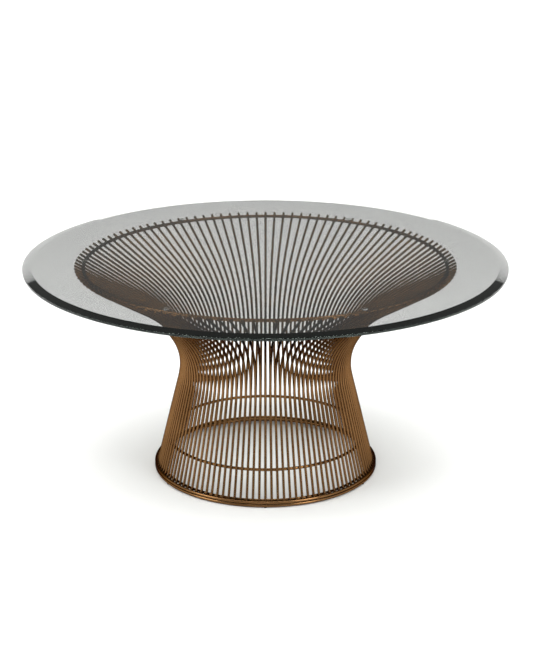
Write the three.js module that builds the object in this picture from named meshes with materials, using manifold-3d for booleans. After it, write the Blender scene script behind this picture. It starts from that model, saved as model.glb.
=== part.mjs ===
// Round coffee table: a bevelled glass disc that lies loose on a waisted cage of upright steel rods.
// Millimetres, +Z up, origin on the floor under the middle of the table.
// Every rod leans straight in from the foot rings, bends through the waist and runs straight out
// under the hoop to a cut tip close below the glass.

import * as THREE from "three";
import { mergeVertices } from "three/addons/utils/BufferGeometryUtils.js";
import Module from "manifold-3d";

const wasm = await Module();
wasm.setup();

// ---- driving dimensions ----

const TABLE_HEIGHT = 418;          // floor to the top of the glass
const TOUCH_GAP = 0.3;             // left between pieces that touch

const GLASS_DIAMETER = 914.4;
const GLASS_THICKNESS = 8;
const BEVEL_WIDTH = 17.3;          // flat bevel ground on the upper edge
const BEVEL_DROP = 3.3;            // how far the bevel falls over its width
const ARRIS = 0.7;                 // small chamfer on the lower edge
const GLASS_SEGMENTS = 96;

const ROD_DIAMETER = 4.8;
const ROD_COUNT = 116;
const RODS_PER_PANEL = 4;
const ROD_SIDES = 6;
const ROD_CROWDING = 0.03;         // rods stand this share closer at the back, and wider at the front
const FOOT_SPREAD = 211.4;         // radius at which the rods' centre lines meet the floor
const FOOT_CUT = 7;                // height of the rods' lower ends
const WAIST_RADIUS = 143.4;        // where the two straight runs of a rod would cross
const WAIST_HEIGHT = 277;
const BEND_BELOW = 97;             // length of the bend on each side of that corner
const BEND_ABOVE = 145;
const BEND_STEPS = 4;

const HOOP_RADIUS = 343.4;
const HOOP_DIAMETER = 6.2;
const TIP_OVERRUN = 17.1;          // how far the rods run on past the middle of the hoop
const TIP_DROP = 4;                // tip centres below the underside of the glass

const STAY_RING_HEIGHT = 65.7;     // ring welded inside the rods, part of the way up
const STAY_RING_DIAMETER = 5.6;
const WELD_SINK = 0.6;             // how far a welded rod sinks into the stay ring
const STAY_JOINT = 0.6;            // gap between the stay ring's stretches

const FOOT_RING_DIAMETER = 5.4;    // two outer rings, one on the other
const INNER_RING_DIAMETER = 5;     // the ring that backs the rods' feet
const RING_SIDES = 6;
const RING_SEGMENTS = 60;

const GLIDE_COUNT = 6;
const GLIDE_DIAMETER = 5;
const GLIDE_THICKNESS = 1;
const PAD_COUNT = 6;
const PAD_DIAMETER = 10;
const SMALL_ROUND_SIDES = 16;

// ---- places worked out from them ----

const ROD_R = ROD_DIAMETER / 2;
const HOOP_R = HOOP_DIAMETER / 2;
const FOOT_RING_R = FOOT_RING_DIAMETER / 2;
const INNER_RING_R = INNER_RING_DIAMETER / 2;
const STAY_RING_R = STAY_RING_DIAMETER / 2;
const GLASS_R = GLASS_DIAMETER / 2;
const GLASS_BOTTOM = TABLE_HEIGHT - GLASS_THICKNESS;

// A rod's outline is drawn in its own upright plane: x is the radius, y the height.
const corner = new THREE.Vector2(WAIST_RADIUS, WAIST_HEIGHT);
const tip = new THREE.Vector2(HOOP_RADIUS + TIP_OVERRUN, GLASS_BOTTOM - TIP_DROP);
const LOWER_SLOPE = (WAIST_RADIUS - FOOT_SPREAD) / WAIST_HEIGHT;
const UPPER_SLOPE = (tip.y - corner.y) / (tip.x - corner.x);
const foot = new THREE.Vector2(FOOT_SPREAD + LOWER_SLOPE * FOOT_CUT, FOOT_CUT);

// Horizontal distance from a lower run's centre line to a point at a square distance from it.
const acrossLowerRun = (distance) => distance * Math.hypot(1, LOWER_SLOPE);
const lowerRunRadius = (height) => FOOT_SPREAD + LOWER_SLOPE * height;

const LOWER_FOOT_HEIGHT = GLIDE_THICKNESS + TOUCH_GAP + FOOT_RING_R;
const UPPER_FOOT_HEIGHT = LOWER_FOOT_HEIGHT + FOOT_RING_DIAMETER + TOUCH_GAP;
const FOOT_RING_RADIUS =
  lowerRunRadius(UPPER_FOOT_HEIGHT) + acrossLowerRun(ROD_R + TOUCH_GAP + FOOT_RING_R);
const INNER_RING_RADIUS =
  lowerRunRadius(UPPER_FOOT_HEIGHT) - acrossLowerRun(ROD_R + TOUCH_GAP + INNER_RING_R);
const STAY_RING_RADIUS =
  lowerRunRadius(STAY_RING_HEIGHT) - acrossLowerRun(ROD_R + STAY_RING_R - WELD_SINK);
const HOOP_HEIGHT =
  corner.y + UPPER_SLOPE * (HOOP_RADIUS - corner.x) +
  (ROD_R + TOUCH_GAP + HOOP_R) * Math.hypot(1, UPPER_SLOPE);

// ---- finishes ----

const bronze = { color: 0x8c643c, roughness: 0.34, metalness: 0.9 };
const darkBronze = { color: 0x6e4c2c, roughness: 0.4, metalness: 0.9 };
const glass = { color: 0xbfd4cc, roughness: 0.03, metalness: 0 };
const clearPlastic = { color: 0xdfe6e4, roughness: 0.25, metalness: 0 };
const brownPlastic = { color: 0x4a3524, roughness: 0.55, metalness: 0 };

// ---- helpers ----

// A path that goes from point to point, with the turn at each point shared by both sides.
class PointPath extends THREE.Curve {
  constructor(points) {
    super();
    this.points = points;
  }

  getPoint(t, target = new THREE.Vector3()) {
    const at = t * (this.points.length - 1);
    const index = Math.min(Math.floor(at + 1e-9), this.points.length - 2);
    return target.copy(this.points[index]).lerp(this.points[index + 1], at - index);
  }

  getPointAt(u, target) {
    return this.getPoint(u, target);
  }

  getTangentAt(u, target = new THREE.Vector3()) {
    const last = this.points.length - 1;
    const index = Math.round(u * last);
    const direction = (i) => this.points[i + 1].clone().sub(this.points[i]).normalize();
    target.copy(direction(Math.max(index - 1, 0)));
    return target.add(direction(Math.min(index, last - 1))).normalize();
  }
}

function roundSection(radius, sides) {
  const section = new THREE.Shape();
  for (let i = 0; i < sides; i++) {
    const angle = (2 * Math.PI * i) / sides;
    const x = radius * Math.cos(angle);
    const y = radius * Math.sin(angle);
    if (i === 0) section.moveTo(x, y);
    else section.lineTo(x, y);
  }
  section.closePath();
  return section;
}

function barAlong(points, radius, sides) {
  const extrudePath = new PointPath(points);
  return new THREE.ExtrudeGeometry(roundSection(radius, sides), {
    extrudePath,
    steps: points.length - 1,
    bevelEnabled: false,
    curveSegments: 1,
  });
}

function toSolid(geometry) {
  const bare = geometry.clone();
  bare.deleteAttribute("normal");
  bare.deleteAttribute("uv");
  const merged = mergeVertices(bare, 1e-4);
  return new wasm.Manifold(new wasm.Mesh({
    numProp: 3,
    vertProperties: Float32Array.from(merged.attributes.position.array),
    triVerts: Uint32Array.from(merged.index.array),
  }));
}

function toGeometry(solid) {
  const mesh = solid.getMesh();
  const geometry = new THREE.BufferGeometry();
  geometry.setAttribute("position", new THREE.BufferAttribute(mesh.vertProperties, 3));
  geometry.setIndex(new THREE.BufferAttribute(mesh.triVerts, 1));
  geometry.computeVertexNormals();
  return geometry;
}

const table = new THREE.Group();

function place(name, geometry, finish) {
  const mesh = new THREE.Mesh(geometry, new THREE.MeshStandardMaterial(finish));
  mesh.name = name;
  table.add(mesh);
  return mesh;
}

// A point at a radius and height, at an angle counted from the front of the table, -Y.
function around(angle, radius, height) {
  return new THREE.Vector3(radius * Math.sin(angle), -radius * Math.cos(angle), height);
}

// ---- rod cage ----

// One rod in its upright plane: foot, bend, tip. The bend is a quadratic curve round the corner.
function rodOutline() {
  const below = foot.clone().sub(corner).setLength(BEND_BELOW).add(corner);
  const above = tip.clone().sub(corner).setLength(BEND_ABOVE).add(corner);
  const bend = new THREE.QuadraticBezierCurve(below, corner, above);
  return [foot, ...bend.getPoints(BEND_STEPS), tip];
}

// Angle of a rod: its even share of the circle, moved on towards the back by a sine of that angle.
function rodAngle(number) {
  const even = (2 * Math.PI * number) / ROD_COUNT;
  return even + ROD_CROWDING * Math.sin(even);
}

function rod(number) {
  const angle = rodAngle(number);
  const points = rodOutline().map((point) => around(angle, point.x, point.y));
  return barAlong(points, ROD_R, ROD_SIDES);
}

// The stretch of the stay ring that holds one panel's rods, bent once between neighbours.
function stayStretch(firstRod) {
  const trim = STAY_JOINT / 2 / STAY_RING_RADIUS;
  const points = [];
  for (let i = 0; i <= RODS_PER_PANEL; i++) {
    let angle = rodAngle(firstRod + i - 0.5);
    if (i === 0) angle += trim;
    if (i === RODS_PER_PANEL) angle -= trim;
    points.push(around(angle, STAY_RING_RADIUS, STAY_RING_HEIGHT));
  }
  return barAlong(points, STAY_RING_R, RING_SIDES);
}

// Rods side by side, welded to their stretch of the stay ring.
function rodPanel(firstRod) {
  let solid = toSolid(stayStretch(firstRod));
  for (let i = 0; i < RODS_PER_PANEL; i++) solid = solid.add(toSolid(rod(firstRod + i)));
  return toGeometry(solid);
}

// The panels go round the table. The second rod of the first one stands at the front.
function buildRodPanels() {
  const count = ROD_COUNT / RODS_PER_PANEL;
  for (let i = 0; i < count; i++) {
    const name = `rod_panel_${String(i + 1).padStart(2, "0")}`;
    place(name, rodPanel(i * RODS_PER_PANEL - Math.floor((RODS_PER_PANEL - 1) / 2)), bronze);
  }
}

// ---- rings ----

function ring(name, radius, height, barRadius, finish) {
  const geometry = new THREE.TorusGeometry(radius, barRadius, RING_SIDES, RING_SEGMENTS);
  place(name, geometry, finish).position.z = height;
}

function buildRings() {
  ring("top_hoop", HOOP_RADIUS, HOOP_HEIGHT, HOOP_R, bronze);
  ring("inner_foot_ring", INNER_RING_RADIUS, UPPER_FOOT_HEIGHT, INNER_RING_R, darkBronze);
  ring("upper_foot_ring", FOOT_RING_RADIUS, UPPER_FOOT_HEIGHT, FOOT_RING_R, bronze);
  ring("lower_foot_ring", FOOT_RING_RADIUS, LOWER_FOOT_HEIGHT, FOOT_RING_R, bronze);
}

// ---- glass, its pads and the floor glides ----

function buildGlass() {
  const outline = [
    new THREE.Vector2(0, GLASS_BOTTOM),
    new THREE.Vector2(GLASS_R - ARRIS, GLASS_BOTTOM),
    new THREE.Vector2(GLASS_R, GLASS_BOTTOM + ARRIS),
    new THREE.Vector2(GLASS_R, TABLE_HEIGHT - BEVEL_DROP),
    new THREE.Vector2(GLASS_R - BEVEL_WIDTH, TABLE_HEIGHT),
    new THREE.Vector2(0, TABLE_HEIGHT),
  ];
  const disc = new THREE.LatheGeometry(outline, GLASS_SEGMENTS);
  disc.rotateX(Math.PI / 2);
  place("glass_top", disc, glass);
}

function roundPad(name, diameter, low, high, angle, radius, finish) {
  const disc = new THREE.CylinderGeometry(diameter / 2, diameter / 2, high - low, SMALL_ROUND_SIDES);
  disc.rotateX(Math.PI / 2);
  place(name, disc, finish).position.copy(around(angle, radius, (low + high) / 2));
}

// Soft clear pads on the hoop, which the glass lies on.
function buildPads() {
  const low = HOOP_HEIGHT + HOOP_R + TOUCH_GAP;
  const high = GLASS_BOTTOM - TOUCH_GAP;
  for (let i = 0; i < PAD_COUNT; i++) {
    const angle = (2 * Math.PI * (i + 0.5)) / PAD_COUNT;
    roundPad(`glass_pad_${i + 1}`, PAD_DIAMETER, low, high, angle, HOOP_RADIUS, clearPlastic);
  }
}

// Low glides under the lower foot ring, the first one at the front.
function buildGlides() {
  for (let i = 0; i < GLIDE_COUNT; i++) {
    const angle = (2 * Math.PI * i) / GLIDE_COUNT;
    const name = `floor_glide_${i + 1}`;
    roundPad(name, GLIDE_DIAMETER, 0, GLIDE_THICKNESS, angle, FOOT_RING_RADIUS, brownPlastic);
  }
}

buildRodPanels();
buildRings();
buildGlass();
buildPads();
buildGlides();

export default table;
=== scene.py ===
"""Round coffee table: a loose bevelled glass top on a waisted cage of bronze-finished steel rods.

The CAD frame gives every place. This script builds the fine surfaces round it: the drawn rods, the
welded rings, the ground and polished glass, its clear pads and the floor glides. Metres, +Z up, and
angles round the table are counted from its front, -Y.
"""

import logging
import math
from dataclasses import dataclass, field
from enum import Enum

import bpy
import numpy as np
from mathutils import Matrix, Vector


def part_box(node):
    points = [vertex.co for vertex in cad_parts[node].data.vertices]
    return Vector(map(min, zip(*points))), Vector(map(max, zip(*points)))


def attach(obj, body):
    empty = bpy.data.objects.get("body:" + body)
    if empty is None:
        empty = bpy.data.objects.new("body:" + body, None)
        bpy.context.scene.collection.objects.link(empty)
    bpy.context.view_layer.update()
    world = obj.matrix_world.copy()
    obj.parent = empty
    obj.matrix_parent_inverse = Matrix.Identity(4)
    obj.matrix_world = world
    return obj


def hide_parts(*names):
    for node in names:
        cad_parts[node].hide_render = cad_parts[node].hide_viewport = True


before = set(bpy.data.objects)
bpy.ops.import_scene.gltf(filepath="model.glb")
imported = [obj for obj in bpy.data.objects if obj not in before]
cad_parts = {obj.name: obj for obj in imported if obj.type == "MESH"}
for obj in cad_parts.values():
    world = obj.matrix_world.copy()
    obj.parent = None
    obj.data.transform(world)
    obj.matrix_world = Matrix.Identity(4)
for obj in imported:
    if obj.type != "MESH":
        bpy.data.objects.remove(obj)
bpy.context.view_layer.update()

LOG = logging.getLogger("coffee_table")
TURN = 2.0 * math.pi
MM = 0.001

# Drawn metal: streaks along the bar, a slow drift of tone, and fine pits.
STREAKS_PER_METRE = 2.5
STREAK_SCALE = 7.0
STREAK_DETAIL = 4.0
STREAK_TONE_SHARE = 0.5
DRIFT_SCALE = 11.0
DRIFT_DETAIL = 3.0
DRIFT_GLOSS_SHARE = 0.6
PIT_SCALE = 900.0
PIT_DETAIL = 2.0
PIT_HEIGHT_SHARE = 0.5

# Moulded plastic: an uneven grain.
GRAIN_SCALE = 400.0
GRAIN_DETAIL = 5.0

# Noise swings round its middle value, and a tone ramp has its two ends inside the noise's reach.
NOISE_MIDDLE = 0.5
RAMP_START = 0.15
RAMP_END = 0.85


class Slot(Enum):
    """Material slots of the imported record."""

    BRONZE = "bronze_steel"
    GLASS = "clear_glass"
    PAD = "clear_pad"
    GLIDE = "brown_glide"


class Body(Enum):
    """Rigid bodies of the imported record."""

    BASE = "base"
    GLASS = "glass"


# ---------------------------------------------------------------- surfaces


def around_axis(angle: np.ndarray, radius: np.ndarray, height: np.ndarray) -> np.ndarray:
    """Points round the table's axis. The three arrays broadcast together.

    Args:
        angle: angles from the front.
        radius: distances from the axis.
        height: heights above the floor.

    Returns:
        The points, with x, y, z along the last axis.
    """
    angle, radius, height = np.broadcast_arrays(angle, radius, height)
    return np.stack([radius * np.sin(angle), -radius * np.cos(angle), height], -1)


def across_axis(angle: np.ndarray) -> np.ndarray:
    """Level unit vectors that point round the table.

    Args:
        angle: angles from the front.

    Returns:
        One vector for each angle, along the last axis.
    """
    return np.stack([np.cos(angle), np.sin(angle), np.zeros_like(angle)], -1)


@dataclass
class Tube:
    """Vertex rows that each go once round, numbered row by row, with one pole at either end.

    Bars, beads and turned discs all share this layout. Several copies follow each other in one
    mesh, each with its rows first, then its first pole and its last pole.
    """

    rows: int
    sides: int
    copies: int = 1

    @property
    def size(self) -> int:
        """Number of vertices in one copy."""
        return self.rows * self.sides + 2

    def faces(self) -> tuple[np.ndarray, np.ndarray]:
        """Numbers the corners of every face.

        Returns:
            Quads of the walls and triangles of the two ends, for every copy.
        """
        i = np.arange(self.rows - 1)[:, None]
        j = np.arange(self.sides)[None, :]
        k = (j + 1) % self.sides
        low, high = i * self.sides, (i + 1) * self.sides
        quads = np.stack([low + j, low + k, high + k, high + j], -1).reshape(-1, 4)
        j, k = j[0], k[0]
        last = (self.rows - 1) * self.sides
        first_pole = np.full(self.sides, self.size - 2)
        last_pole = np.full(self.sides, self.size - 1)
        start = np.stack([first_pole, k, j], -1)
        end = np.stack([last_pole, last + j, last + k], -1)
        offsets = self.size * np.arange(self.copies)[:, None, None]
        quads = (quads[None] + offsets).reshape(-1, 4)
        ends = (np.concatenate([start, end])[None] + offsets).reshape(-1, 3)
        return quads, ends

    def corner_uvs(self, along: np.ndarray) -> np.ndarray:
        """UV of every face corner: metres along the tube, and turns round it without a seam jump.

        Args:
            along: distance of each row from the first.

        Returns:
            One UV pair for each corner, in face order.
        """
        quads, ends = self.faces()
        row, column = np.divmod(quads % self.size, self.sides)
        joined = column.max(1, keepdims=True) == self.sides - 1
        column = np.where((column == 0) & joined, self.sides, column)
        wall = np.stack([along[row], column / self.sides], -1).reshape(-1, 2)
        row, column = np.divmod(ends % self.size, self.sides)
        joined = column[:, 1:].max(1, keepdims=True) == self.sides - 1
        column = np.where((column == 0) & joined, self.sides, column)
        column[:, 0] = column[:, 1]
        row = np.minimum(row, self.rows - 1)
        cap = np.stack([along[row], column / self.sides], -1).reshape(-1, 2)
        return np.concatenate([wall, cap])


def make_piece(
    name: str,
    points: np.ndarray,
    faces: tuple[np.ndarray, ...],
    corner_uvs: np.ndarray | None = None,
    sharp_above: float | None = None,
) -> bpy.types.Object:
    """Makes a mesh object at the origin from arrays.

    Args:
        name: the piece's name.
        points: vertex positions, one row each.
        faces: arrays of vertex numbers, one array for each number of sides.
        corner_uvs: one UV pair for each face corner, or None.
        sharp_above: angle in degrees above which an edge is sharp, or None for smooth all over.

    Returns:
        The new object, linked to the scene.
    """
    mesh = bpy.data.meshes.new(name)
    polygons = [corners for block in faces for corners in block.tolist()]
    mesh.from_pydata(points.reshape(-1, 3).tolist(), [], polygons)
    if corner_uvs is not None:
        layer = mesh.uv_layers.new(name="surface")
        layer.data.foreach_set("uv", corner_uvs.astype(np.float32).ravel())
    mesh.polygons.foreach_set("use_smooth", np.ones(len(mesh.polygons), bool))
    if sharp_above is not None:
        mesh.set_sharp_from_angle(angle=math.radians(sharp_above))
    mesh.update()
    piece = bpy.data.objects.new(name, mesh)
    bpy.context.scene.collection.objects.link(piece)
    return piece


def make_torus(
    name: str, radius: float, height: float, bar_radius: float, steps: int = 360, sides: int = 16
) -> bpy.types.Object:
    """A round-bar ring about the table's axis.

    A point is (R + r cos v) out and r sin v up, for u round the table and v round the bar.

    Args:
        name: the piece's name.
        radius: centre line radius R.
        height: centre line height.
        bar_radius: bar radius r.
        steps: vertices round the table.
        sides: vertices round the bar.

    Returns:
        The new object.
    """
    u = (TURN * np.arange(steps) / steps)[:, None]
    v = (TURN * np.arange(sides) / sides)[None, :]
    points = around_axis(u, radius + bar_radius * np.cos(v), height + bar_radius * np.sin(v))
    i, j = np.meshgrid(np.arange(steps), np.arange(sides), indexing="ij")
    row = np.stack([i, i, i + 1, i + 1], -1).reshape(-1, 4)
    column = np.stack([j, j + 1, j + 1, j], -1).reshape(-1, 4)
    quads = (row % steps) * sides + column % sides
    uvs = np.stack([row * TURN * radius / steps, column / sides], -1)
    return make_piece(name, points, (quads,), uvs.reshape(-1, 2))


def make_turned(
    name: str,
    profile: np.ndarray,
    centre: tuple[float, float],
    sides: int,
    sharp_above: float,
) -> bpy.types.Object:
    """A turned solid: a profile of radius and height carried once round an upright axis.

    Args:
        name: the piece's name.
        profile: rows of radius and height, from the bottom's rim to the top's rim.
        centre: where the axis stands.
        sides: vertices round the axis.
        sharp_above: angle in degrees above which an edge is sharp.

    Returns:
        The new object, with flat ends.
    """
    u = (TURN * np.arange(sides) / sides)[None, :]
    walls = around_axis(u, profile[:, :1], profile[:, 1:]).reshape(-1, 3)
    poles = np.array([[0, 0, profile[0, 1]], [0, 0, profile[-1, 1]]])
    points = np.vstack([walls, poles]) + np.array([*centre, 0.0])
    return make_piece(name, points, Tube(len(profile), sides).faces(), sharp_above=sharp_above)


# ---------------------------------------------------------------- finishes


def node_group(name: str, inputs: dict[str, float], outputs: list[str]) -> bpy.types.NodeTree:
    """Makes an empty shader node group with number sockets.

    Args:
        name: the group's name.
        inputs: inputs and their default values.
        outputs: output names.

    Returns:
        The group, with its input and output nodes placed.
    """
    tree = bpy.data.node_groups.new(name, "ShaderNodeTree")
    for label, value in inputs.items():
        socket = tree.interface.new_socket(
            name=label, in_out="INPUT", socket_type="NodeSocketFloat"
        )
        socket.default_value = value
    for label in outputs:
        tree.interface.new_socket(name=label, in_out="OUTPUT", socket_type="NodeSocketFloat")
    tree.nodes.new("NodeGroupInput").name = "in"
    tree.nodes.new("NodeGroupOutput").name = "out"
    return tree


def add_node(tree: bpy.types.NodeTree, kind: str, **settings: object) -> bpy.types.Node:
    """Adds a node to a tree.

    Args:
        tree: the node tree.
        kind: the node's type name.
        **settings: properties to set on it.

    Returns:
        The new node.
    """
    node = tree.nodes.new(kind)
    for key, value in settings.items():
        setattr(node, key, value)
    return node


def feed(tree: bpy.types.NodeTree, socket: bpy.types.NodeSocket, value: object) -> None:
    """Feeds an input socket.

    Args:
        tree: the node tree.
        socket: the input.
        value: an output socket to link, or a plain value to set.
    """
    if isinstance(value, bpy.types.NodeSocket):
        tree.links.new(value, socket)
    else:
        socket.default_value = value


def math_node(
    tree: bpy.types.NodeTree, operation: str, first: object, second: object = 0.0
) -> bpy.types.NodeSocket:
    """Adds a Math node.

    Args:
        tree: the node tree.
        operation: the node's operation.
        first: the first operand, a socket or a number.
        second: the second operand, a socket or a number.

    Returns:
        The node's output.
    """
    node = add_node(tree, "ShaderNodeMath", operation=operation)
    feed(tree, node.inputs[0], first)
    feed(tree, node.inputs[1], second)
    return node.outputs[0]


def noise_node(
    tree: bpy.types.NodeTree, vector: bpy.types.NodeSocket, scale: object, detail: float
) -> bpy.types.NodeSocket:
    """Adds a Noise node, shifted to swing round 0.

    Args:
        tree: the node tree.
        vector: where the noise is read.
        scale: its scale, a socket or a number.
        detail: its detail.

    Returns:
        The noise less its middle value.
    """
    node = add_node(tree, "ShaderNodeTexNoise")
    node.inputs["Detail"].default_value = detail
    feed(tree, node.inputs["Scale"], scale)
    tree.links.new(vector, node.inputs["Vector"])
    return math_node(tree, "SUBTRACT", node.outputs["Fac"], NOISE_MIDDLE)


def tone_ramp(
    tree: bpy.types.NodeTree,
    tone: bpy.types.NodeSocket,
    dark: tuple[float, float, float],
    light: tuple[float, float, float],
) -> bpy.types.NodeSocket:
    """Adds a ramp that turns a tone round one half into a colour.

    Args:
        tree: the node tree.
        tone: the tone.
        dark: the colour of low tones.
        light: the colour of high tones.

    Returns:
        The ramp's colour output.
    """
    ramp = add_node(tree, "ShaderNodeValToRGB")
    first, last = ramp.color_ramp.elements
    first.position, first.color = RAMP_START, (*dark, 1.0)
    last.position, last.color = RAMP_END, (*light, 1.0)
    tree.links.new(tone, ramp.inputs["Fac"])
    return ramp.outputs["Color"]


def raise_bump(
    tree: bpy.types.NodeTree, height: bpy.types.NodeSocket, strength: float, distance: float
) -> None:
    """Feeds a height through a Bump node to the material's shader.

    Args:
        tree: the material's node tree.
        height: the height.
        strength: the Bump node's strength.
        distance: its distance in metres.
    """
    bump = add_node(tree, "ShaderNodeBump")
    bump.inputs["Strength"].default_value = strength
    bump.inputs["Distance"].default_value = distance
    tree.links.new(height, bump.inputs["Height"])
    tree.links.new(bump.outputs["Normal"], tree.nodes["Principled BSDF"].inputs["Normal"])


def new_material(name: str) -> bpy.types.Material:
    """Makes a material with a node tree that holds one Principled shader.

    Args:
        name: the material's name.

    Returns:
        The new material.
    """
    material = bpy.data.materials.new(name)
    material.use_nodes = True
    return material


def drawn_metal_group() -> bpy.types.NodeTree:
    """Group for drawn and lacquered bar: long fine streaks, slow tone changes and tiny pits.

    The streaks follow the bar. Their noise is read at (metres along, cos, sin of the turn round),
    worked out from the UV map, so they close without a seam. The rest reads Object coordinates.

    Returns:
        The group.
    """
    inputs = {"Streak Depth": 1.0, "Tone Spread": 1.0, "Seed": 0.0}
    tree = node_group("drawn_metal", inputs, ["Tone", "Gloss", "Height"])
    given, result = tree.nodes["in"].outputs, tree.nodes["out"].inputs
    uv = add_node(tree, "ShaderNodeUVMap", uv_map="surface")
    split = add_node(tree, "ShaderNodeSeparateXYZ")
    tree.links.new(uv.outputs["UV"], split.inputs["Vector"])
    turn = math_node(tree, "MULTIPLY", split.outputs["Y"], TURN)
    wrapped = add_node(tree, "ShaderNodeCombineXYZ")
    along = math_node(tree, "MULTIPLY", split.outputs["X"], STREAKS_PER_METRE)
    feed(tree, wrapped.inputs["X"], math_node(tree, "ADD", along, given["Seed"]))
    feed(tree, wrapped.inputs["Y"], math_node(tree, "COSINE", turn))
    feed(tree, wrapped.inputs["Z"], math_node(tree, "SINE", turn))
    place = add_node(tree, "ShaderNodeTexCoord").outputs["Object"]
    streak = noise_node(tree, wrapped.outputs["Vector"], STREAK_SCALE, STREAK_DETAIL)
    streak = math_node(tree, "MULTIPLY", streak, given["Streak Depth"])
    drift = noise_node(tree, place, DRIFT_SCALE, DRIFT_DETAIL)
    drift = math_node(tree, "MULTIPLY", drift, given["Tone Spread"])
    pits = noise_node(tree, place, PIT_SCALE, PIT_DETAIL)
    faint_streak = math_node(tree, "MULTIPLY", streak, STREAK_TONE_SHARE)
    tone = math_node(tree, "ADD", faint_streak, drift)
    feed(tree, result["Tone"], math_node(tree, "ADD", tone, NOISE_MIDDLE))
    faint_drift = math_node(tree, "MULTIPLY", drift, DRIFT_GLOSS_SHARE)
    feed(tree, result["Gloss"], math_node(tree, "ADD", streak, faint_drift))
    faint_pits = math_node(tree, "MULTIPLY", pits, PIT_HEIGHT_SHARE)
    feed(tree, result["Height"], math_node(tree, "ADD", streak, faint_pits))
    return tree


def moulded_grain_group() -> bpy.types.NodeTree:
    """Group for moulded plastic: a fine uneven grain on Object coordinates, round one half.

    Returns:
        The group.
    """
    tree = node_group("moulded_grain", {"Grain Scale": GRAIN_SCALE}, ["Grain"])
    place = add_node(tree, "ShaderNodeTexCoord").outputs["Object"]
    grain = noise_node(tree, place, tree.nodes["in"].outputs["Grain Scale"], GRAIN_DETAIL)
    feed(tree, tree.nodes["out"].inputs["Grain"], math_node(tree, "ADD", grain, NOISE_MIDDLE))
    return tree


@dataclass(frozen=True)
class BronzeFinish:
    """Satin bronze lacquer over steel bar.

    Fields give the tone's dark and light ends in linear colour, its tint at grazing angles (kept
    dark to paint shade along the sides of each bar), the mean roughness and its spread, how deep
    the drawing streaks are, how far the slow tone changes go, and the strength and distance of the
    bump.
    """

    name: str
    dark: tuple[float, float, float] = (0.10, 0.049, 0.019)
    light: tuple[float, float, float] = (0.235, 0.122, 0.048)
    # Dark grazing tint: painted shade that darkens each bar's edges.
    grazing_shade_tint: tuple[float, float, float] = (0.05, 0.03, 0.02)
    roughness: float = 0.19
    roughness_spread: float = 0.14
    streak_depth: float = 1.0
    tone_spread: float = 0.9
    bump: float = 0.08
    bump_reach: float = 0.2 * MM
    coat: float = 0.04
    coat_roughness: float = 0.12
    seed: float = 0.0

    def build(self, group: bpy.types.NodeTree) -> bpy.types.Material:
        """Makes the material.

        Args:
            group: the drawn metal node group.

        Returns:
            The finished material.
        """
        material = new_material(self.name)
        tree = material.node_tree
        shader = tree.nodes["Principled BSDF"]
        shader.inputs["Metallic"].default_value = 1.0
        # The dark grazing tint paints shade along the bar's edges.
        shader.inputs["Specular Tint"].default_value = (*self.grazing_shade_tint, 1.0)
        shader.inputs["Coat Weight"].default_value = self.coat
        shader.inputs["Coat Roughness"].default_value = self.coat_roughness
        pattern = add_node(tree, "ShaderNodeGroup", node_tree=group)
        pattern.inputs["Streak Depth"].default_value = self.streak_depth
        pattern.inputs["Tone Spread"].default_value = self.tone_spread
        pattern.inputs["Seed"].default_value = self.seed
        colour = tone_ramp(tree, pattern.outputs["Tone"], self.dark, self.light)
        tree.links.new(colour, shader.inputs["Base Color"])
        rough = math_node(tree, "MULTIPLY", pattern.outputs["Gloss"], self.roughness_spread)
        feed(tree, shader.inputs["Roughness"], math_node(tree, "ADD", rough, self.roughness))
        raise_bump(tree, pattern.outputs["Height"], self.bump, self.bump_reach)
        return material


@dataclass(frozen=True)
class GlassFinish:
    """Polished float glass, which takes its tint from its depth.

    Lamps shine through it: a ray towards a lamp, or off a matt surface, meets a plain transparent
    pane instead, so that the glass throws only a faint shadow.
    """

    name: str
    index: float = 1.52
    tint: tuple[float, float, float] = (0.43, 0.45, 0.435)
    gleam: tuple[float, float, float] = (0.84, 1.0, 0.91)
    density: float = 115.0
    lamp_share: tuple[float, float, float] = (0.95, 0.955, 0.95)

    def build(self) -> bpy.types.Material:
        """Makes the material.

        Returns:
            The finished material.
        """
        material = new_material(self.name)
        tree = material.node_tree
        shader = tree.nodes["Principled BSDF"]
        output = tree.nodes["Material Output"]
        shader.inputs["Base Color"].default_value = (1.0, 1.0, 1.0, 1.0)
        shader.inputs["Metallic"].default_value = 0.0
        shader.inputs["Roughness"].default_value = 0.0
        shader.inputs["IOR"].default_value = self.index
        shader.inputs["Transmission Weight"].default_value = 1.0
        shader.inputs["Specular Tint"].default_value = (*self.gleam, 1.0)
        clear = add_node(tree, "ShaderNodeBsdfTransparent")
        clear.inputs["Color"].default_value = (*self.lamp_share, 1.0)
        path = add_node(tree, "ShaderNodeLightPath")
        mix = add_node(tree, "ShaderNodeMixShader")
        bypass = math_node(
            tree, "MAXIMUM", path.outputs["Is Shadow Ray"], path.outputs["Is Diffuse Ray"]
        )
        tree.links.new(bypass, mix.inputs[0])
        tree.links.new(shader.outputs[0], mix.inputs[1])
        tree.links.new(clear.outputs[0], mix.inputs[2])
        tree.links.new(mix.outputs[0], output.inputs["Surface"])
        absorb = add_node(tree, "ShaderNodeVolumeAbsorption")
        absorb.inputs["Color"].default_value = (*self.tint, 1.0)
        absorb.inputs["Density"].default_value = self.density
        tree.links.new(absorb.outputs[0], output.inputs["Volume"])
        return material


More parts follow.
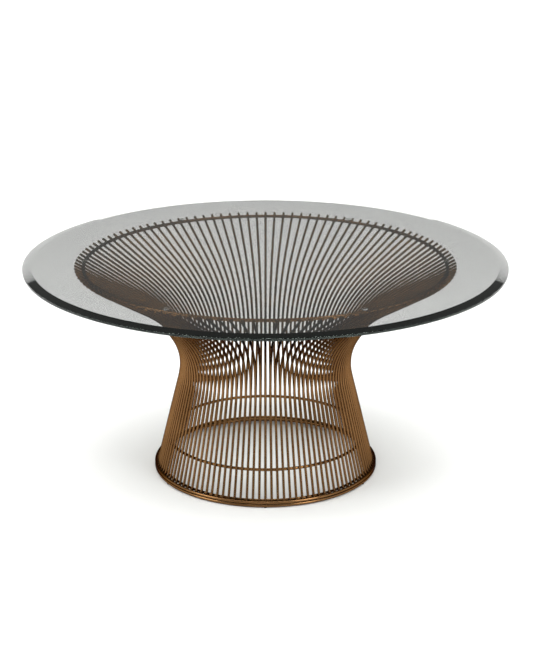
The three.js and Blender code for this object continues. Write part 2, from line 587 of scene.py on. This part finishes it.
@dataclass(frozen=True)
class PlasticFinish:
    """Small moulded plastic pieces: clear soft pads and brown nylon glides.

    The grain moves the tone between dark and light, moves the roughness by its spread, and raises
    the bump.
    """

    name: str
    dark: tuple[float, float, float]
    light: tuple[float, float, float]
    roughness: float
    index: float = 1.5
    transmission: float = 0.0
    roughness_spread: float = 0.1
    bump: float = 0.15
    bump_reach: float = 0.1 * MM

    def build(self, group: bpy.types.NodeTree) -> bpy.types.Material:
        """Makes the material.

        Args:
            group: the moulded grain node group.

        Returns:
            The finished material.
        """
        material = new_material(self.name)
        tree = material.node_tree
        shader = tree.nodes["Principled BSDF"]
        shader.inputs["Metallic"].default_value = 0.0
        shader.inputs["IOR"].default_value = self.index
        shader.inputs["Transmission Weight"].default_value = self.transmission
        grain = add_node(tree, "ShaderNodeGroup", node_tree=group).outputs["Grain"]
        tree.links.new(tone_ramp(tree, grain, self.dark, self.light), shader.inputs["Base Color"])
        rough = math_node(tree, "MULTIPLY", grain, self.roughness_spread)
        feed(tree, shader.inputs["Roughness"], math_node(tree, "ADD", rough, self.roughness))
        raise_bump(tree, grain, self.bump, self.bump_reach)
        return material


@dataclass
class Finishes:
    """Every material of the table, built once."""

    rods: bpy.types.Material = field(init=False)
    rings: bpy.types.Material = field(init=False)
    welds: bpy.types.Material = field(init=False)
    glass: bpy.types.Material = field(init=False)
    pads: bpy.types.Material = field(init=False)
    glides: bpy.types.Material = field(init=False)

    def __post_init__(self) -> None:
        """Builds the shared groups and then each material."""
        metal = drawn_metal_group()
        grain = moulded_grain_group()
        self.rods = BronzeFinish("bronze_rods").build(metal)
        # The rings take the rods' bronze painted lighter: a painted highlight standing in for the
        # brighter light the rings catch.
        self.rings = BronzeFinish(
            "bronze_rings_painted_lighter",
            dark=(0.13, 0.065, 0.025),
            light=(0.31, 0.164, 0.066),
            roughness=0.17,
            seed=4.0,
        ).build(metal)
        self.welds = BronzeFinish(
            "bronze_welds",
            dark=(0.06, 0.029, 0.011),
            light=(0.17, 0.086, 0.033),
            roughness=0.42,
            tone_spread=1.6,
            bump=0.3,
            seed=9.0,
        ).build(metal)
        self.glass = GlassFinish("clear_float_glass").build()
        self.pads = PlasticFinish(
            "clear_soft_plastic",
            dark=(0.90, 0.92, 0.91),
            light=(0.96, 0.97, 0.96),
            roughness=0.02,
            index=1.25,
            transmission=1.0,
        ).build(grain)
        self.glides = PlasticFinish(
            "brown_nylon",
            dark=(0.035, 0.022, 0.013),
            light=(0.07, 0.045, 0.028),
            roughness=0.5,
        ).build(grain)


def settle(
    piece: bpy.types.Object,
    material: bpy.types.Material,
    body: Body,
    replaced: list[str],
) -> None:
    """Dresses a piece and ties it to its CAD body and the CAD nodes it stands for.

    Args:
        piece: the finished mesh object.
        material: its material.
        body: the CAD body it moves with.
        replaced: the CAD nodes it stands for.
    """
    piece.data.materials.append(material)
    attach(piece, body.value)
    if replaced:
        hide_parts(*replaced)
    LOG.info("%s: %d faces", piece.name, len(piece.data.polygons))


# ---------------------------------------------------------------- rings


@dataclass
class Ring:
    """A closed round-bar ring, taken in size and height from its CAD node."""

    node: str
    bar_diameter: float

    @property
    def bar_radius(self) -> float:
        """Radius of the bar."""
        return self.bar_diameter / 2

    @property
    def radius(self) -> float:
        """Radius of the ring's centre line."""
        low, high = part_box(self.node)
        return (high.x - low.x) / 2 - self.bar_radius

    @property
    def height(self) -> float:
        """Height of the ring's centre line."""
        low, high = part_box(self.node)
        return (low.z + high.z) / 2

    def build(self, finish: bpy.types.Material) -> None:
        """Builds the ring in place of its CAD node.

        Args:
            finish: the ring's material.
        """
        piece = make_torus(self.node + "_bar", self.radius, self.height, self.bar_radius)
        settle(piece, finish, Body.BASE, [self.node])


# ---------------------------------------------------------------- rod cage


@dataclass
class Bead:
    """Size and place of the weld beads along one ring.

    The lean is the angle of the rod above level. The half sizes run along the rod, across it and
    out of it.
    """

    name: str
    radius: float
    height: float
    lean: float
    half_sizes: tuple[float, float, float]


@dataclass
class RodCage:
    """The bent rods, their stay ring and the weld beads.

    A rod's centre line lies in an upright plane through the table's axis. It is a straight run up
    from the foot, a quadratic curve round the waist corner, and a straight run out to the tip.
    The three bead sizes are half sizes along the rod, across it and out of it.
    """

    hoop: Ring
    foot_ring: Ring
    count: int = 116
    per_panel: int = 4
    crowding: float = 0.03
    diameter: float = 4.8 * MM
    sides: int = 12
    foot_spread: float = 211.4 * MM
    foot_cut: float = 7.0 * MM
    waist_radius: float = 143.4 * MM
    waist_height: float = 277.0 * MM
    bend_below: float = 97.0 * MM
    bend_above: float = 145.0 * MM
    bend_steps: int = 18
    tip_overrun: float = 17.1 * MM
    tip_drop: float = 4.0 * MM
    end_round: float = 0.5 * MM
    stay_height: float = 65.7 * MM
    stay_diameter: float = 5.6 * MM
    weld_sink: float = 0.6 * MM
    sharp_above: float = 35.0
    bead_rows: int = 5
    bead_sides: int = 8
    hoop_bead: tuple[float, float, float] = (3.0 * MM, 2.6 * MM, 1.1 * MM)
    stay_bead: tuple[float, float, float] = (2.8 * MM, 2.6 * MM, 0.9 * MM)
    foot_bead: tuple[float, float, float] = (2.4 * MM, 2.6 * MM, 1.2 * MM)
    foot_bead_lift: float = 1.2 * MM

    @property
    def radius(self) -> float:
        """Radius of a rod."""
        return self.diameter / 2

    @property
    def lower_slope(self) -> float:
        """How far the lower run leans out for each unit of height."""
        return (self.waist_radius - self.foot_spread) / self.waist_height

    @property
    def stay_radius(self) -> float:
        """Centre line radius of the stay ring, sunk a little into the rods it is welded to."""
        gap = self.radius + self.stay_diameter / 2 - self.weld_sink
        lower_run = self.foot_spread + self.lower_slope * self.stay_height
        return lower_run - gap * math.hypot(1, self.lower_slope)

    @property
    def corner(self) -> np.ndarray:
        """Radius and height of the point where a rod's two straight runs would cross."""
        return np.array([self.waist_radius, self.waist_height])

    @property
    def tip(self) -> np.ndarray:
        """Radius and height of a rod's upper end."""
        glass_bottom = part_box("glass_top")[0].z
        return np.array([self.hoop.radius + self.tip_overrun, glass_bottom - self.tip_drop])

    def angles(self, numbers: np.ndarray) -> np.ndarray:
        """Angles of rods: the even share of the circle, plus a sine of it towards the back.

        Args:
            numbers: rod numbers, with 0 at the front.

        Returns:
            Their angles from the front.
        """
        even = TURN * numbers / self.count
        return even + self.crowding * np.sin(even)

    def outline(self) -> np.ndarray:
        """Draws the centre line in its own plane.

        Returns:
            Rows of radius and height, from foot to tip.
        """
        corner, tip = self.corner, self.tip
        foot = np.array([self.foot_spread + self.lower_slope * self.foot_cut, self.foot_cut])
        down = (foot - corner) / np.linalg.norm(foot - corner)
        up = (tip - corner) / np.linalg.norm(tip - corner)
        below, above = corner + self.bend_below * down, corner + self.bend_above * up
        t = np.linspace(0, 1, self.bend_steps + 1)[:, None]
        bend = (1 - t) ** 2 * below + 2 * t * (1 - t) * corner + t**2 * above
        return np.vstack([foot, foot - self.end_round * down, bend, tip - self.end_round * up, tip])

    def build_panel(self, index: int, finish: bpy.types.Material) -> None:
        """Builds one panel's rods as one piece.

        A surface point is centre + r (cos v across + sin v outward), with v once round the rod and
        r drawn in at both ends.

        Args:
            index: the panel's number, from 0 at the front.
            finish: the rods' material.
        """
        outline = self.outline()
        steps = np.linalg.norm(np.diff(outline, axis=0), axis=1)
        along = np.concatenate([[0.0], np.cumsum(steps)])
        tangent = np.gradient(outline, along, axis=0)
        tangent /= np.linalg.norm(tangent, axis=1, keepdims=True)
        first = index * self.per_panel - (self.per_panel - 1) // 2
        angles = self.angles(first + np.arange(self.per_panel))[:, None]
        centres = around_axis(angles, outline[None, :, 0], outline[None, :, 1])[:, :, None]
        outward = around_axis(angles, tangent[None, :, 1], -tangent[None, :, 0])[:, :, None]
        across = across_axis(angles)[:, :, None]
        radii = np.full(len(outline), self.radius)
        radii[[0, -1]] -= self.end_round
        v = (TURN * np.arange(self.sides) / self.sides)[None, None, :, None]
        walls = centres + radii[None, :, None, None] * (np.cos(v) * across + np.sin(v) * outward)
        walls = walls.reshape(self.per_panel, -1, 3)
        points = np.concatenate([walls, centres[:, 0], centres[:, -1]], 1)
        tube = Tube(len(outline), self.sides, self.per_panel)
        name = f"rods_{index + 1:02d}"
        piece = make_piece(name, points, tube.faces(), tube.corner_uvs(along), self.sharp_above)
        settle(piece, finish, Body.BASE, [f"rod_panel_{index + 1:02d}"])

    def build_stay_ring(self, finish: bpy.types.Material) -> None:
        """Builds the whole stay ring inside the rods.

        Args:
            finish: the ring's material.
        """
        piece = make_torus("stay_ring", self.stay_radius, self.stay_height, self.stay_diameter / 2)
        settle(piece, finish, Body.BASE, [])

    def build_beads(self, bead: Bead, finish: bpy.types.Material) -> None:
        """Builds the weld beads of one ring, one at each rod.

        A bead is a flattened ball: cos and sin of two angles, times its three half sizes, leaned
        over to lie along the rod.

        Args:
            bead: the beads' size and place.
            finish: the beads' material.
        """
        tube = Tube(self.bead_rows, self.bead_sides, self.count)
        p = np.pi * (np.arange(tube.rows) + 1) / (tube.rows + 1)
        q = (TURN * np.arange(tube.sides) / tube.sides)[None, :]
        ring = np.sin(p)[:, None] * np.stack([np.cos(q), np.sin(q)])
        along = np.broadcast_to(np.cos(p)[:, None], ring[0].shape)
        ball = np.stack([along, *ring], -1).reshape(-1, 3)
        ball = np.vstack([ball, [[1, 0, 0]], [[-1, 0, 0]]]) * np.array(bead.half_sizes)
        outward = ball[:, 0] * math.cos(bead.lean) - ball[:, 2] * math.sin(bead.lean)
        rise = ball[:, 0] * math.sin(bead.lean) + ball[:, 2] * math.cos(bead.lean)
        angles = self.angles(np.arange(self.count))[:, None]
        points = around_axis(angles, bead.radius + outward[None], bead.height + rise[None])
        points = points + ball[None, :, 1:2] * across_axis(angles)
        uvs = tube.corner_uvs(bead.half_sizes[0] * (1 - np.cos(p)))
        piece = make_piece(bead.name, points, tube.faces(), uvs)
        settle(piece, finish, Body.BASE, [])

    def beads(self) -> list[Bead]:
        """Sizes and places the three rows of beads.

        Returns:
            The beads under the hoop, on the stay ring and on the upper foot ring.
        """
        run = self.tip - self.corner
        rise = math.atan2(run[1], run[0])
        lean = math.atan2(1, self.lower_slope)
        hoop_reach = self.hoop.bar_radius
        stay_reach = self.stay_diameter / 2 - self.weld_sink / 2
        foot_reach = self.foot_ring.bar_radius
        return [
            Bead(
                "hoop_welds",
                self.hoop.radius + hoop_reach * math.sin(rise),
                self.hoop.height - hoop_reach * math.cos(rise),
                rise,
                self.hoop_bead,
            ),
            Bead(
                "stay_welds",
                self.stay_radius + stay_reach * math.sin(lean),
                self.stay_height - stay_reach * math.cos(lean),
                lean,
                self.stay_bead,
            ),
            Bead(
                "foot_welds",
                self.foot_ring.radius - foot_reach * math.sin(lean),
                self.foot_ring.height + foot_reach * math.cos(lean) + self.foot_bead_lift,
                lean,
                self.foot_bead,
            ),
        ]

    def build(self, finishes: Finishes) -> None:
        """Builds the rods, the stay ring and the beads.

        Args:
            finishes: every material of the table.
        """
        for index in range(self.count // self.per_panel):
            self.build_panel(index, finishes.rods)
        self.build_stay_ring(finishes.rings)
        for bead in self.beads():
            self.build_beads(bead, finishes.welds)


# ---------------------------------------------------------------- glass


@dataclass
class GlassTop:
    """The loose glass disc, with a wide flat bevel above and small polished arrises.

    The corner shares say how far the middle point of a softened corner sits from the sharp one.
    """

    node: str = "glass_top"
    bevel_width: float = 17.3 * MM
    bevel_drop: float = 3.3 * MM
    arris: float = 0.7 * MM
    soften: float = 0.35 * MM
    corner_share: float = 0.3
    corner_drop_share: float = 0.2
    steps: int = 384
    sharp_above: float = 4.0

    def profile(self) -> np.ndarray:
        """Draws half the disc's section.

        Returns:
            Rows of radius and height from the underside's rim to the rim of the flat top.
        """
        low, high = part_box(self.node)
        radius = (high.x - low.x) / 2
        bottom, top = low.z, high.z
        edge_top = top - self.bevel_drop
        slope = math.atan2(self.bevel_drop, self.bevel_width)
        soft, corner = self.soften, self.corner_share
        inner = radius - self.bevel_width
        return np.array([
            [radius - self.arris, bottom],
            [radius - self.arris * corner, bottom + self.arris * corner],
            [radius, bottom + self.arris],
            [radius, edge_top - soft],
            [radius - soft * corner, edge_top - soft * self.corner_drop_share],
            [radius - soft * math.cos(slope), edge_top + soft * math.sin(slope)],
            [inner + soft, top - soft * math.tan(slope)],
            [inner - soft, top],
        ])

    def build(self, finish: bpy.types.Material) -> None:
        """Builds the disc in place of its CAD node.

        Args:
            finish: the glass.
        """
        profile = self.profile()
        piece = make_turned("glass_disc", profile, (0.0, 0.0), self.steps, self.sharp_above)
        settle(piece, finish, Body.GLASS, [self.node])


# ---------------------------------------------------------------- pads and glides


@dataclass
class RoundPads:
    """Small turned discs with rounded rims that take the places of a row of CAD nodes."""

    stem: str
    count: int
    name: str
    soften: float
    slot: Slot
    steps: int = 32
    rim_steps: int = 7
    sharp_above: float = 40.0

    def build(self, finish: bpy.types.Material) -> None:
        """Builds every disc.

        Args:
            finish: the discs' material.
        """
        for number in range(1, self.count + 1):
            self.build_one(number, finish)

    def build_one(self, number: int, finish: bpy.types.Material) -> None:
        """Builds one disc at its CAD node, with half circles of the soften radius at its rim.

        Args:
            number: the node's number.
            finish: the disc's material.
        """
        node = f"{self.stem}_{number}"
        low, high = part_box(node)
        middle = (low + high) / 2
        radius = (high.x - low.x) / 2
        soft = min(self.soften, (high.z - low.z) / 2)
        turn = np.linspace(-math.pi / 2, math.pi / 2, self.rim_steps)
        up = np.where(turn < 0, low.z + soft, high.z - soft) + soft * np.sin(turn)
        profile = np.stack([radius - soft + soft * np.cos(turn), up], -1)
        name, centre = f"{self.name}_{number}", (middle.x, middle.y)
        piece = make_turned(name, profile, centre, self.steps, self.sharp_above)
        settle(piece, finish, Body.BASE, [node])


# ---------------------------------------------------------------- studio


@dataclass(frozen=True)
class Softbox:
    """A soft rectangular lamp: its name, its place, its width and height, and its watts."""

    name: str
    place: tuple[float, float, float]
    sides: tuple[float, float]
    power: float


def smooth_step(
    tree: bpy.types.NodeTree,
    value: bpy.types.NodeSocket,
    span: tuple[float, float],
    levels: tuple[float, float],
) -> bpy.types.NodeSocket:
    """Adds a smooth step of a value.

    Args:
        tree: the node tree.
        value: the value.
        span: where the step starts and ends.
        levels: the result at its start and at its end.

    Returns:
        The step's result.
    """
    step = add_node(tree, "ShaderNodeMapRange", interpolation_type="SMOOTHSTEP")
    tree.links.new(value, step.inputs["Value"])
    for label, number in zip(("From Min", "From Max", "To Min", "To Max"), (*span, *levels)):
        step.inputs[label].default_value = number
    return step.outputs["Result"]


@dataclass
class Studio:
    """Pale floor, soft lamps, a dome and the camera.

    Each span gives the upward or sideways part of a direction at which a part of the dome's light
    starts to change, and the one at which it has changed fully.
    """

    floor_half: float = 30.0
    floor_colour: tuple[float, float, float] = (0.93, 0.935, 0.93)
    floor_roughness: float = 0.6
    floor_gloss: float = 0.2
    dome_colour: tuple[float, float, float] = (1.0, 0.998, 0.99)
    room_light: float = 0.2
    overhead_light: float = 4.9
    side_light: float = 0.8
    overhead_span: tuple[float, float] = (0.78, 0.96)
    side_span: tuple[float, float] = (0.6, 0.95)
    low_span: tuple[float, float] = (0.45, 0.85)
    seen_backdrop: tuple[float, float, float] = (1.0, 1.0, 1.0)
    lens: float = 93.07
    sensor: float = 36.0
    camera_place: tuple[float, float, float] = (0.002, -3.113, 1.332)
    camera_pitch: float = 0.328
    camera_reach: float = 100.0
    lamp_aim: tuple[float, float, float] = (0.0, 0.0, 0.2)
    lamps: tuple[Softbox, ...] = (
        Softbox("left_lamp", (-2.79, -1.10, 2.4), (1.5, 1.6), 45.0),
        Softbox("right_lamp", (2.16, -2.08, 2.4), (1.2, 1.6), 45.0),
    )

    def build_floor(self) -> None:
        """Makes the floor plane."""
        half = self.floor_half
        corners = np.array([[-half, -half, 0], [half, -half, 0], [half, half, 0], [-half, half, 0]])
        floor = make_piece("floor", corners, (np.array([[0, 1, 2, 3]]),))
        material = new_material("pale_floor")
        shader = material.node_tree.nodes["Principled BSDF"]
        shader.inputs["Base Color"].default_value = (*self.floor_colour, 1.0)
        shader.inputs["Roughness"].default_value = self.floor_roughness
        shader.inputs["Specular IOR Level"].default_value = self.floor_gloss
        floor.data.materials.append(material)

    def build_world(self) -> None:
        """Makes a dome: dim all round, bright overhead, and lit at both sides up to eye level."""
        world = bpy.data.worlds.new("studio_dome")
        bpy.context.scene.world = world
        world.use_nodes = True
        tree = world.node_tree
        background = tree.nodes["Background"]
        place = add_node(tree, "ShaderNodeTexCoord")
        split = add_node(tree, "ShaderNodeSeparateXYZ")
        tree.links.new(place.outputs["Generated"], split.inputs["Vector"])
        levels = (self.room_light, self.overhead_light)
        overhead = smooth_step(tree, split.outputs["Z"], self.overhead_span, levels)
        aside = math_node(tree, "ABSOLUTE", split.outputs["X"])
        aside = smooth_step(tree, aside, self.side_span, (0.0, self.side_light))
        below = smooth_step(tree, split.outputs["Z"], self.low_span, (1.0, 0.0))
        light = math_node(tree, "ADD", overhead, math_node(tree, "MULTIPLY", aside, below))
        background.inputs["Color"].default_value = (*self.dome_colour, 1.0)
        tree.links.new(light, background.inputs["Strength"])
        seen = add_node(tree, "ShaderNodeBackground")
        seen.inputs["Color"].default_value = (*self.seen_backdrop, 1.0)
        path = add_node(tree, "ShaderNodeLightPath")
        mix = add_node(tree, "ShaderNodeMixShader")
        tree.links.new(path.outputs["Is Camera Ray"], mix.inputs[0])
        tree.links.new(background.outputs[0], mix.inputs[1])
        tree.links.new(seen.outputs[0], mix.inputs[2])
        tree.links.new(mix.outputs[0], tree.nodes["World Output"].inputs["Surface"])

    def build_lamp(self, box: Softbox) -> None:
        """Makes one softbox that faces the table.

        Args:
            box: its name, place, sides and power.
        """
        lamp = bpy.data.lights.new(box.name, "AREA")
        lamp.shape = "RECTANGLE"
        lamp.size, lamp.size_y = box.sides
        lamp.energy = box.power
        holder = bpy.data.objects.new(box.name, lamp)
        holder.location = box.place
        way = Vector(self.lamp_aim) - Vector(box.place)
        holder.rotation_euler = way.to_track_quat("-Z", "Y").to_euler()
        holder.visible_camera = False
        bpy.context.scene.collection.objects.link(holder)

    def build_camera(self) -> None:
        """Places the camera in front of the table, above it and looking down."""
        data = bpy.data.cameras.new("camera")
        data.lens = self.lens
        data.sensor_width = self.sensor
        data.clip_end = self.camera_reach
        camera = bpy.data.objects.new("camera", data)
        camera.location = self.camera_place
        camera.rotation_euler = (math.pi / 2 - self.camera_pitch, 0, 0)
        bpy.context.scene.collection.objects.link(camera)
        bpy.context.scene.camera = camera

    def build(self) -> None:
        """Builds the camera, the floor, the dome and the lamps."""
        self.build_camera()
        self.build_floor()
        self.build_world()
        for box in self.lamps:
            self.build_lamp(box)
        bpy.context.scene.view_settings.view_transform = "Standard"


def main() -> None:
    """Builds the studio and the table, piece by piece."""
    logging.basicConfig(level=logging.INFO, format="%(name)s %(message)s")
    Studio().build()
    finishes = Finishes()
    hoop = Ring("top_hoop", bar_diameter=6.2 * MM)
    upper = Ring("upper_foot_ring", bar_diameter=5.4 * MM)
    lower = Ring("lower_foot_ring", bar_diameter=5.4 * MM)
    inner = Ring("inner_foot_ring", bar_diameter=5.0 * MM)
    for ring in (hoop, upper, lower, inner):
        ring.build(finishes.rings)
    RodCage(hoop, upper).build(finishes)
    GlassTop().build(finishes.glass)
    pads = RoundPads("glass_pad", 6, "clear_pad", soften=0.8 * MM, slot=Slot.PAD)
    pads.build(finishes.pads)
    glides = RoundPads("floor_glide", 6, "glide", soften=0.4 * MM, slot=Slot.GLIDE)
    glides.build(finishes.glides)


if __name__ == "__main__":
    main()
